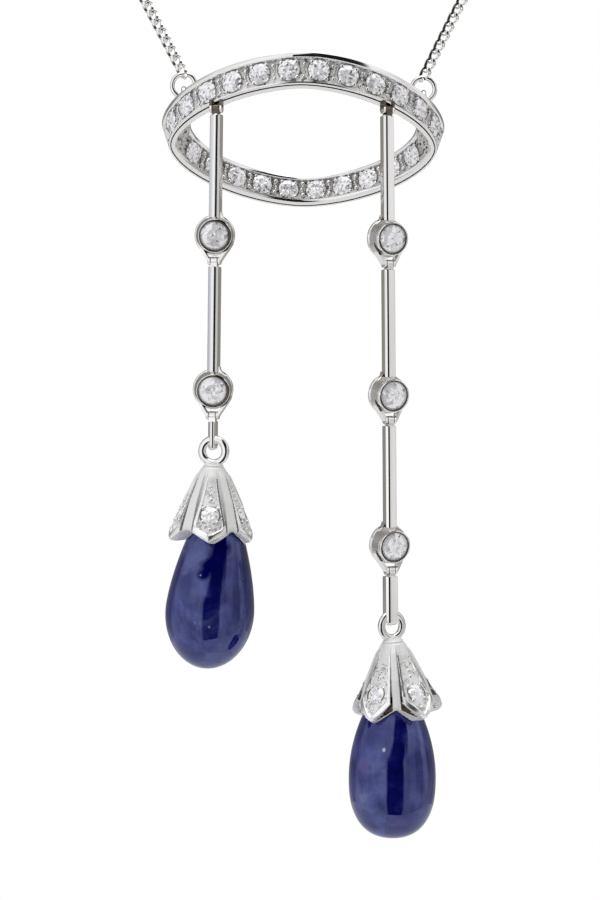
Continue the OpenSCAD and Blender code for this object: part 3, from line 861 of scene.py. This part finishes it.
for side, cups in cup_counts.items():
    for k in range(1, cups + 2):
        here = joint_frame(f"{side}_hinge_{k}", side)
        below = f"{side}_hinge_{k + 1}" if k <= cups else side + "_drop_swing"
        reach = np.linalg.norm(here[:3, 3] - joint_frame(below, side)[:3, 3])
        body = f"{side}_link_{k}"
        if k <= cups:
            length = reach - hinge_drop
            in_cup = here @ shifted(0, 0, -length) @ cup_lean[side] @ shifted(stone_aside[side], -0.70, 0)
            cut = brilliant(stone_d, 60 + k).moved(in_cup @ turned(0, 90) @ turned(2, 20 * k))
            stone = stones_mesh(f"cup_stone_{side}_{k}", cut, 20 + k, spread=(1.3, 0.75))
            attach(stone, body)
            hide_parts(f"{side}_stone_{k}")
            # The first link's eye, tucked under the hoop, takes material 1: painted shadow.
            piece = bar_and_cup(side, length, 1 if k == 1 else 0)
        else:
            # Short bar: its rounded tip closes over the drop's ring
            piece = tongue().join(bar_shape(side, reach + 0.42, short_bar_width[side], tip=0.5))
        piece = piece.moved(here).mesh(f"{side}_bar_link_{k}", [bright_gold, recess_gold, side_shade_gold], 30)
        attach(piece, body)
        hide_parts(f"{side}_bar_{k}")


# Caps: cast crowns of five petals with a narrow rib between each two, under a soldered ring that runs
# through the short bar's eye. Each petal has a raised border and one stone between small beads.
petals = 5
petal_deg = 360 / petals
petal_tip = 6.35
petal_notch = 5.35
point_deg = 33
neck_r = 1.0
notch_r = 2.85
cap_gap = 0.08
lip_round = 0.27
lip_from = 0.93
cap_sides = 600
lean_pivot = 5.4
drop_ring_r = 1.0
drop_wire_r = 0.33
ring_foot = [(-0.1, 0.88), (0.0, 0.83), (0.10, 0.74), (0.20, 0.62), (0.27, 0.5), (0.30, 0.3)]
cap_top = drop_ring_r + 1.17
petal_stone_d = 1.62
petal_seat = 4.0
claw_reach = 0.84
claw_r, claw_h = 0.16, 0.15
petal_grain_h = 0.12
petal_stone_sink, petal_line_sink, claw_sink = 0.2, 0.16, 0.14
# Grains up and down the middle of a petal: (depth, radius)
petal_grains = [(2.75, 0.18), (2.3, 0.14), (1.95, 0.11), (5.2, 0.16)]


def petal_face(u, drop):
    """Radius of a petal's face: it flares by a power of its depth and curls in again towards its tip."""
    grow, power, curl, curl_power = drop["flare"]
    return neck_r + grow * u**power - curl * (u / 6) ** curl_power


def petal_edge(off, notch=petal_notch):
    """Depth of the cap's lower edge at an angle off a petal's middle: a straight-sided point."""
    return petal_tip - (petal_tip - notch) * ramp(off / point_deg)


def smooth(v):
    v = ramp(v)
    return v * v * (3 - 2 * v)


def petal_parts(u, off, drop):
    """Shares of petal, sunk field, rib and rim at a depth and an angle off the petal's middle, and the depth left
    below it to the petal's own edge."""
    wide = drop["petal_half"]
    half = wide - drop["narrow"] * (1 - ramp(u / 4.5))
    inside = petal_edge(off, drop["notch"]) - u
    petal = smooth((half - off) / 2.0) * smooth(inside / 0.10)
    field = smooth((half - 6.5 - off) / 1.4) * smooth((inside - 0.66) / 0.08)
    rib = smooth((off - wide - 0.4) / 1.0)
    rim = smooth((0.22 - petal_edge(off) + u) / 0.06) * (1 - petal)
    return petal, field, rib, rim, inside


def cap_outer(u, off, drop):
    """Radius of the cap's outer face: framed petals with a keeled lip, and ribs, all rising from a plain neck."""
    petal, field, rib, rim, inside = petal_parts(u, off, drop)
    lip = smooth((0.68 - inside) / 0.07)
    keel = lip * (0.16 * (1 - ramp(off / 26)) - 0.02)
    face = petal_face(u, drop) + 0.03 - 0.13 * field * smooth((u - 1.1) / 0.5) + keel
    cone = neck_r + (notch_r - neck_r) * (u / petal_notch) ** 0.9
    relief = cone + (face - cone) * petal + 0.42 * rib * (1 - petal) * ramp(u / 3) + 0.12 * rim * (1 - rib)
    neck = neck_r * (0.5 + 0.5 * np.sqrt(1 - (1 - ramp(u / 0.4)) ** 2)) + 0.25 * ramp((u - 0.2) / 1.0)
    return neck + (relief - neck) * smooth((u - 0.15) / 0.8)


def drop_radius(drop, u):
    """Radius of the stone: a rounded shoulder that falls by a power of its height, and a rounded end."""
    up = drop["r"] * (1 - ramp((drop["widest"] - u) / drop["up"]) ** drop["power"])
    end_power = drop["end_power"]
    down = drop["r"] * ramp(1 - ramp((u - drop["widest"]) / drop["down"]) ** end_power) ** (1 / end_power)
    return np.where(u <= drop["widest"], up, down)


def round_middle(r, u, angle):
    """Points at a radius, a depth below the cap's top and an angle from its front."""
    return stacked(r * np.sin(angle), -r * np.cos(angle), -u)


def cap_shape(drop):
    """The cap's outer and inner faces on one grid, turned inside out over its scalloped edge. Its materials: 1 on
    petals, ribs and under the edge, 2 on bare and inner walls and 3 in the grooves, both painted shade, 4 on frames
    and 5 on fields."""
    notch = drop["notch"]
    a = np.linspace(0, 360, cap_sides, endpoint=False)
    off = np.abs((a + petal_deg / 2) % petal_deg - petal_deg / 2)
    angle = np.radians(a + drop["turn"])
    edge = petal_edge(off)
    share = np.concatenate([np.linspace(0, 0.7, 26, endpoint=False), np.linspace(0.7, lip_from, 28),
                            [0.95, 0.965, 0.98, 0.99, 0.996, 1.0]])[:, None]
    u = edge * share
    soft = lip_round * (1 - np.sqrt(1 - ramp((share - lip_from) / (1 - lip_from)) ** 2))
    outer = round_middle(cap_outer(u, off, drop) - soft, u, angle)
    petal, field, rib, rim, inside = petal_parts(u, off, drop)
    # Bare places in the notches take material 2: painted shadow of the cap's inside.
    bare = (notch < petal_notch) * (1 - petal) * (1 - rim) * (1 - rib) * (u > notch - 0.25) > 0.5
    # Grooves take material 3: painted shade.
    groove = (np.abs(petal - 0.5) < 0.4) & (u > 0.6) & (inside > 0.2)
    frame_side = (petal > 0.85) & (field < 0.5) & (inside > 0.8) & (u > 1.0)
    frame_end = (petal > 0.5) & (inside < 0.68) & (inside > 0.2)
    beaded = (petal > 0.85) & (field > 0.6) & (u > 1.6)
    numbers = np.select([bare, groove, frame_side | frame_end, beaded], [2, 3, 4, 5], 1)

    down = np.linspace(1, 0, 16)[:, None]
    cut = drop["top"] - cap_gap
    u = cut + (edge - cut) * down
    inner = round_middle(drop_radius(drop, u) + cap_gap + 0.02 * (down == 1), u, angle)
    inner = inner @ drop["seat"][:3, :3].T + drop["seat"][:3, 3]
    shape = Shape().grid(np.concatenate([outer, inner])[:, ::-1])
    # Rows under the edge take material 1, the inner walls material 2: painted shade.
    under = np.repeat([1, 2], [4 * cap_sides, 12 * cap_sides])
    shape.numbers = [*numbers[:-1, ::-1].ravel(), *under, 1, 2]
    return shape.moved(shifted(0, 0, -cap_top))


def petal_frame(drop, k, u, sink):
    """Frame sunk into the middle of a petal, Z square to its face."""
    r, further = float(petal_face(u, drop)), float(petal_face(u + 0.1, drop))
    slope = math.degrees(math.atan2(further - r, 0.1))
    on_face = turned(2, drop["turn"] + petal_deg * k) @ shifted(0, -r, -cap_top - u) @ turned(0, 90 - slope)
    return on_face @ shifted(0, 0, -sink)


def drop_ring():
    """Cast ring on top of the cap, with a foot that spreads into it."""
    foot = lathe(ring_foot, 40)
    foot[..., 1] *= np.interp(foot[..., 0], [0.0, 0.3], [1.0, 0.6])
    foot = Shape().grid(foot, number=1).moved(shifted(0, 0, -cap_top) @ turned(1, -90))
    ring = torus(drop_ring_r, drop_wire_r, 72, 24, 0.8).moved(shifted(0, 0, -drop_ring_r) @ turned(2, 90))
    return ring.join(foot)


def seat_in_cap(lean, aside):
    """Matrix that leans the stone about a depth inside its cap and moves it sideways there."""
    return shifted(aside, 0, -lean_pivot) @ turned(1, lean) @ shifted(0, 0, lean_pivot)


# Stone: radius, depth of its widest place, lengths and powers of its rise and its end, and depth of its top.
# Cap: turn in degrees, depth of the petals' notches, half width and narrowing of a petal in degrees, its flare.
drops = {
    "left": {"r": 3.70, "widest": 12.2, "up": 11.9, "power": 1.57, "down": 4.75, "end_power": 2.0, "top": 1.5,
             "turn": 12, "notch": 5.35, "petal_half": 26, "narrow": 9, "flare": (0.41, 1.1, 0.50, 6),
             "lean": shifted(0.14, 0, 0) @ turned(1, 1.3), "seat": seat_in_cap(3.2, 0.50)},
    "right": {"r": 3.62, "widest": 11.4, "up": 9.3, "power": 2.0, "down": 4.93, "end_power": 2.45, "top": 2.8,
              "turn": 4, "notch": 4.5, "petal_half": 28.5, "narrow": 3, "flare": (0.374, 1.2, 0.56, 10),
              "lean": turned(1, -4.0), "seat": seat_in_cap(4.9, -0.43)},
}
# The fields' copy is lighter: painted light on the petals.
field_gold = make_beaded("beaded_white_gold_light", (0.50, 0.49, 0.47), (1.0, 1.0, 1.0), 5600)
cap_golds = [bright_gold, grained_gold, recess_gold, groove_gold, satin_gold, field_gold]
for side, drop in drops.items():
    drop["hung"] = joint_frame(side + "_drop_swing", side) @ drop["lean"]
    cap, cuts = cap_shape(drop).join(drop_ring()), Shape()
    for k in range(petals):
        cut_at = petal_frame(drop, k, petal_seat, petal_stone_sink)
        cuts.join(brilliant(petal_stone_d, 90 + k).moved(cut_at @ turned(2, 25 * k)))
        # A dark ring of painted shade round each petal stone.
        cap.join(seat_ring(petal_stone_d / 2, 0.045, 2).moved(petal_frame(drop, k, petal_seat, petal_line_sink)))
        for t in np.radians([45, 135, 225, 315]):
            aside = shifted(claw_reach * math.cos(t), claw_reach * math.sin(t), 0)
            cap.join(dome(claw_r, claw_h).moved(petal_frame(drop, k, petal_seat, claw_sink) @ aside))
        for u, r in petal_grains:
            cap.join(dome(r, petal_grain_h).moved(petal_frame(drop, k, u, petal_grain_h)))
    cap = cap.moved(drop["hung"]).mesh(side + "_petal_cap", cap_golds, 50)
    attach(cap, side + "_drop")
    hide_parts(side + "_cap")
    stones = stones_mesh(side + "_petal_stones", cuts.moved(drop["hung"]), 31)
    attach(stones, side + "_drop")
    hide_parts(side + "_cap_stones")


# Sapphires: smooth polished drops of deep blue, held under their caps. Cloudy veils and a few bright
# specks lie inside. On the left one, a patch of painted shade takes the reflection away and deepens the blue.
pale_speck, deep = (0.60, 0.62, 0.70), (0.001, 0.002, 0.085)
lilac, cloud, haze = (0.065, 0.025, 0.17), (0.10, 0.12, 0.28), (0.05, 0.062, 0.21)
# Spots inside each stone, (colour, radius, place), the left one's two deep spots being painted shade, and places of
# painted shade where the reflection is taken away, (radius, place)
spots = {
    "left": [
        (pale_speck, 0.05, (-8.36, -105.61, -151.3)), (pale_speck, 0.09, (-7.63, -106.2, -155.5)),
        (cloud, 0.10, (-8.78, -105.9, -155.1)), (haze, 0.9, (-9.1, -104.5, -149.5)),
        (haze, 0.8, (-7.2, -105.0, -158.6)), (deep, 0.6, (-7.7, -105.5, -150.7)), (deep, 0.6, (-6.8, -105.1, -149.3))],
    "right": [
        (pale_speck, 0.10, (6.55, -105.8, -165.5)), (lilac, 0.45, (5.05, -105.0, -166.9)),
        (haze, 0.5, (6.0, -105.9, -166.9)), (haze, 0.8, (4.9, -105.0, -169.6)), (haze, 0.6, (6.2, -105.3, -171.0)),
        (cloud, 0.3, (5.0, -105.1, -169.4)), (lilac, 0.4, (7.9, -105.3, -171.2))],
}
painted_shade_places = {
    "left": [(0.38, (-8.12, -105.63, -151.23)), (0.5, (-7.65, -105.5, -150.6)), (0.55, (-7.0, -105.3, -149.9)),
             (0.54, (-6.72, -105.0, -149.0))],
    "right": [],
}
# Scale and strength of each stone's veils
veils = {"left": (420, 1.25), "right": (330, 1.2)}
ripple_scale = 1100
swell_scale = 260


# Group that gives a soft round mask about a point: one inside the radius, zero at about twice it, with a rippled
# edge
soft_spot, given, end = new_group("soft_spot", {"Centre": None, "Radius": 0.001, "Ripple": 4.0}, {"Mask": 0.0})
place = add_node(soft_spot, "TexCoord", "Object")
ripple = add_node(soft_spot, "TexNoise", "Fac", Vector=place, Scale=ripple_scale)
apart = math_node(soft_spot, "DISTANCE", place, given["Centre"], kind="VectorMath", output="Value")
radii = math_node(soft_spot, "DIVIDE", apart, given["Radius"])
uneven = math_node(soft_spot, "SUBTRACT", ripple, 0.5)
mask = math_node(soft_spot, "SUBTRACT", 1.8, math_node(soft_spot, "MULTIPLY_ADD", uneven, given["Ripple"], radii))
mask.node.use_clamp = True
set_inputs(end, Mask=mask)


def spot_mask(tree, radius, centre, ripple=4.0):
    """Mask of one soft spot, from its radius and centre in millimetres."""
    centre = [v * MM for v in centre]
    return add_node(tree, "Group", 0, soft_spot, Centre=centre, Radius=radius * MM, Ripple=ripple)


def make_sapphire(side):
    """Deep blue stone: a dark body with pale veils and spots, under a hard polish but for places of painted shade
    where its reflection is taken away.
    """
    material, tree, shader = new_material("blue_sapphire_" + side)
    veil_scale, veil_share = veils[side]
    place = add_node(tree, "TexCoord", "Object")
    veil = add_node(tree, "TexNoise", "Fac", Vector=place, Scale=veil_scale, Detail=7, Roughness=0.62, Distortion=0.7)
    colour = ramp_node(tree, veil, [
        (0.38, deep), (0.50, (0.004, 0.006, 0.13)),
        (0.58, (0.016 * veil_share, 0.021 * veil_share, 0.13 + 0.04 * veil_share)),
        (0.72, (0.06 * veil_share, 0.07 * veil_share, 0.13 + 0.12 * veil_share))])
    for tint, radius, centre in spots[side]:
        colour = mix_node(tree, spot_mask(tree, radius, centre), colour, rgba(tint))
    polish = add_node(tree, "TexNoise", "Fac", Vector=place, Scale=veil_scale * 1.6, Detail=5)
    level = ramp_node(tree, polish, [(0.36, 0.36), (0.60, 0.56)])
    # Painted shade: the polish's reflection is taken away here.
    for radius, centre in painted_shade_places[side]:
        shine = math_node(tree, "SUBTRACT", 1.0, spot_mask(tree, radius, centre, 1.2))
        level = math_node(tree, "MULTIPLY", level, shine)
    swell = add_node(tree, "TexNoise", "Fac", Vector=place, Scale=swell_scale, Detail=2)
    bump = add_node(tree, "Bump", "Normal", Strength=0.5, Distance=0.0001, Height=swell)
    set_inputs(shader, Base_Color=colour, Specular_IOR_Level=level, Normal=bump, Roughness=0.035, IOR=2.2,
               Specular_Tint=rgba((0.46, 0.53, 1.0)))
    return material


for side, drop in drops.items():
    u = drop["top"] + (drop["widest"] + drop["down"] - drop["top"]) * np.sin(np.linspace(0, 0.985 * np.pi / 2, 90))
    surface = lathe(stacked(-u, drop_radius(drop, u)), 120)
    stone = Shape().grid(surface[::-1])
    stone.moved(drop["hung"] @ shifted(0, 0, -cap_top) @ drop["seat"] @ turned(1, -90))
    stone = stone.mesh(side + "_blue_drop", [make_sapphire(side)], 60)
    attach(stone, side + "_drop")
    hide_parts(side + "_sapphire")
